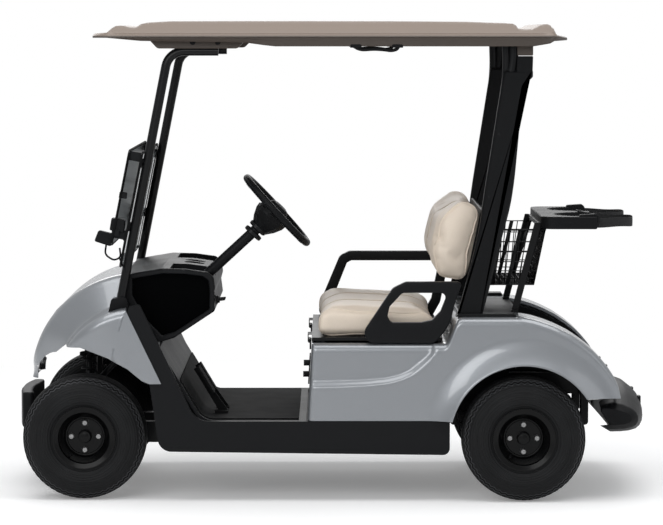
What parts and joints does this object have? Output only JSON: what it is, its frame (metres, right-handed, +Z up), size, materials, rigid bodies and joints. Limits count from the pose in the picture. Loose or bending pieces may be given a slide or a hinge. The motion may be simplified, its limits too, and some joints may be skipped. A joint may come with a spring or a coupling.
{
  "type": "electric golf cart",
  "caption": "Two-seat open golf cart with a roof on struts, folding windscreen, bench seat on a battery bay, bag cradle and wire basket at the rear; steered front wheels.",
  "frame": {"origin": "on the ground under the middle of the overall length and width", "axes": "+X towards the tail, +Y to the cart's right, +Z up"},
  "size_m": [2.4, 1.2, 1.7839],
  "materials": {
    "body_silver": "metallic gloss",
    "roof_beige": "satin",
    "cushion": "matte",
    "black_plastic": "textured",
    "dash_plastic": "textured",
    "rubber": "matte",
    "armrest_plastic": "satin",
    "black_paint": "satin",
    "steel_dark": "satin",
    "battery_case": "satin",
    "glass": "clear",
    "webbing": "woven",
    "tyre": "matte",
    "rim_black": "gloss"
  },
  "bodies": {
    "chassis": {"armrest_left": "armrest_plastic", "armrest_right": "armrest_plastic", "backrest_cushion": "cushion", "backrest_shell": "black_plastic", "bag_cradle": "black_plastic", "bag_rack": "black_paint", "bag_straps": "webbing", "bag_well": "black_plastic", "basket": "black_paint", "battery_pack": "battery_case", "control_panel": "black_plastic", "dash": "dash_plastic", "floor_mat": "rubber", "floor_pan": "black_plastic", "frame": "steel_dark", "front_arms": "steel_dark", "front_bumper": "black_plastic", "front_cowl": "body_silver", "front_shocks": "steel_dark", "front_struts": "black_paint", "leaf_springs": "steel_dark", "nose_panel": "black_plastic", "pedals": "rubber", "rear_axle": "steel_dark", "rear_body": "body_silver", "rear_bumper": "black_plastic", "rear_shocks": "steel_dark", "rear_struts": "black_plastic", "rear_wheel_housings": "black_plastic", "roof": "roof_beige", "roof_brackets": "roof_beige", "seat_hinges": "steel_dark", "side_panel_left": "black_plastic", "side_panel_right": "black_plastic", "steering_column": "black_plastic", "steering_gear": "steel_dark", "strut_foot_covers": "black_plastic", "windscreen_clips": "black_plastic", "windscreen_lower": "glass", "windscreen_upper": "glass"},
    "seat": {"seat_lid": "black_paint", "seat_cushion": "cushion"},
    "steering_wheel": {"steering_wheel": "dash_plastic"},
    "knuckle_left": {"knuckle_left": "steel_dark"},
    "knuckle_right": {"knuckle_right": "steel_dark"},
    "tie_rod": {"tie_rod": "steel_dark"},
    "drop_arm": {"drop_arm": "steel_dark"},
    "wheel_front_left": {"tyre_front_left": "tyre", "rim_front_left": "rim_black"},
    "wheel_front_right": {"tyre_front_right": "tyre", "rim_front_right": "rim_black"},
    "wheel_rear_left": {"tyre_rear_left": "tyre", "rim_rear_left": "rim_black"},
    "wheel_rear_right": {"tyre_rear_right": "tyre", "rim_rear_right": "rim_black"}
  },
  "joints": [
    {"name": "steer_left", "type": "hinge", "parent": "chassis", "child": "knuckle_left", "pos_m": [-0.924, -0.319, 0.232], "axis": [0, 0, 1], "range_deg": [-24, 24]},
    {"name": "steer_right", "type": "hinge", "parent": "chassis", "child": "knuckle_right", "pos_m": [-0.924, 0.319, 0.232], "axis": [0, 0, 1], "range_deg": [-24, 24]},
    {"name": "drop_arm_turn", "type": "hinge", "parent": "chassis", "child": "drop_arm", "pos_m": [-0.924, -0.06, 0.255], "axis": [0, 0, 1], "range_deg": [-24, 24]},
    {"name": "tie_rod_swing", "type": "hinge", "parent": "knuckle_left", "child": "tie_rod", "pos_m": [-0.824, -0.319, 0.275], "axis": [0, 0, 1], "range_deg": [-24, 24]},
    {"name": "steering_wheel_turn", "type": "hinge", "parent": "chassis", "child": "steering_wheel", "pos_m": [-0.207, -0.27, 1.07], "axis": [0.7361, 0, 0.6769], "range_deg": [-240, 240]},
    {"name": "seat_tilt", "type": "hinge", "parent": "chassis", "child": "seat", "pos_m": [-0.083, 0, 0.579], "axis": [0, -1, 0], "range_deg": [0, 50]},
    {"name": "spin_front_left", "type": "hinge", "parent": "knuckle_left", "child": "wheel_front_left", "pos_m": [-0.924, -0.435, 0.232], "axis": [0, 1, 0], "continuous": true},
    {"name": "spin_front_right", "type": "hinge", "parent": "knuckle_right", "child": "wheel_front_right", "pos_m": [-0.924, 0.435, 0.232], "axis": [0, 1, 0], "continuous": true},
    {"name": "spin_rear_left", "type": "hinge", "parent": "chassis", "child": "wheel_rear_left", "pos_m": [0.716, -0.49, 0.232], "axis": [0, 1, 0], "continuous": true},
    {"name": "spin_rear_right", "type": "hinge", "parent": "chassis", "child": "wheel_rear_right", "pos_m": [0.716, 0.49, 0.232], "axis": [0, 1, 0], "continuous": true}
  ],
  "couplings": [
    {"joint": "steer_right", "follows": "steer_left", "ratio": 1},
    {"joint": "drop_arm_turn", "follows": "steer_left", "ratio": 1},
    {"joint": "tie_rod_swing", "follows": "steer_left", "ratio": -1},
    {"joint": "steering_wheel_turn", "follows": "steer_left", "ratio": 10}
  ]
}
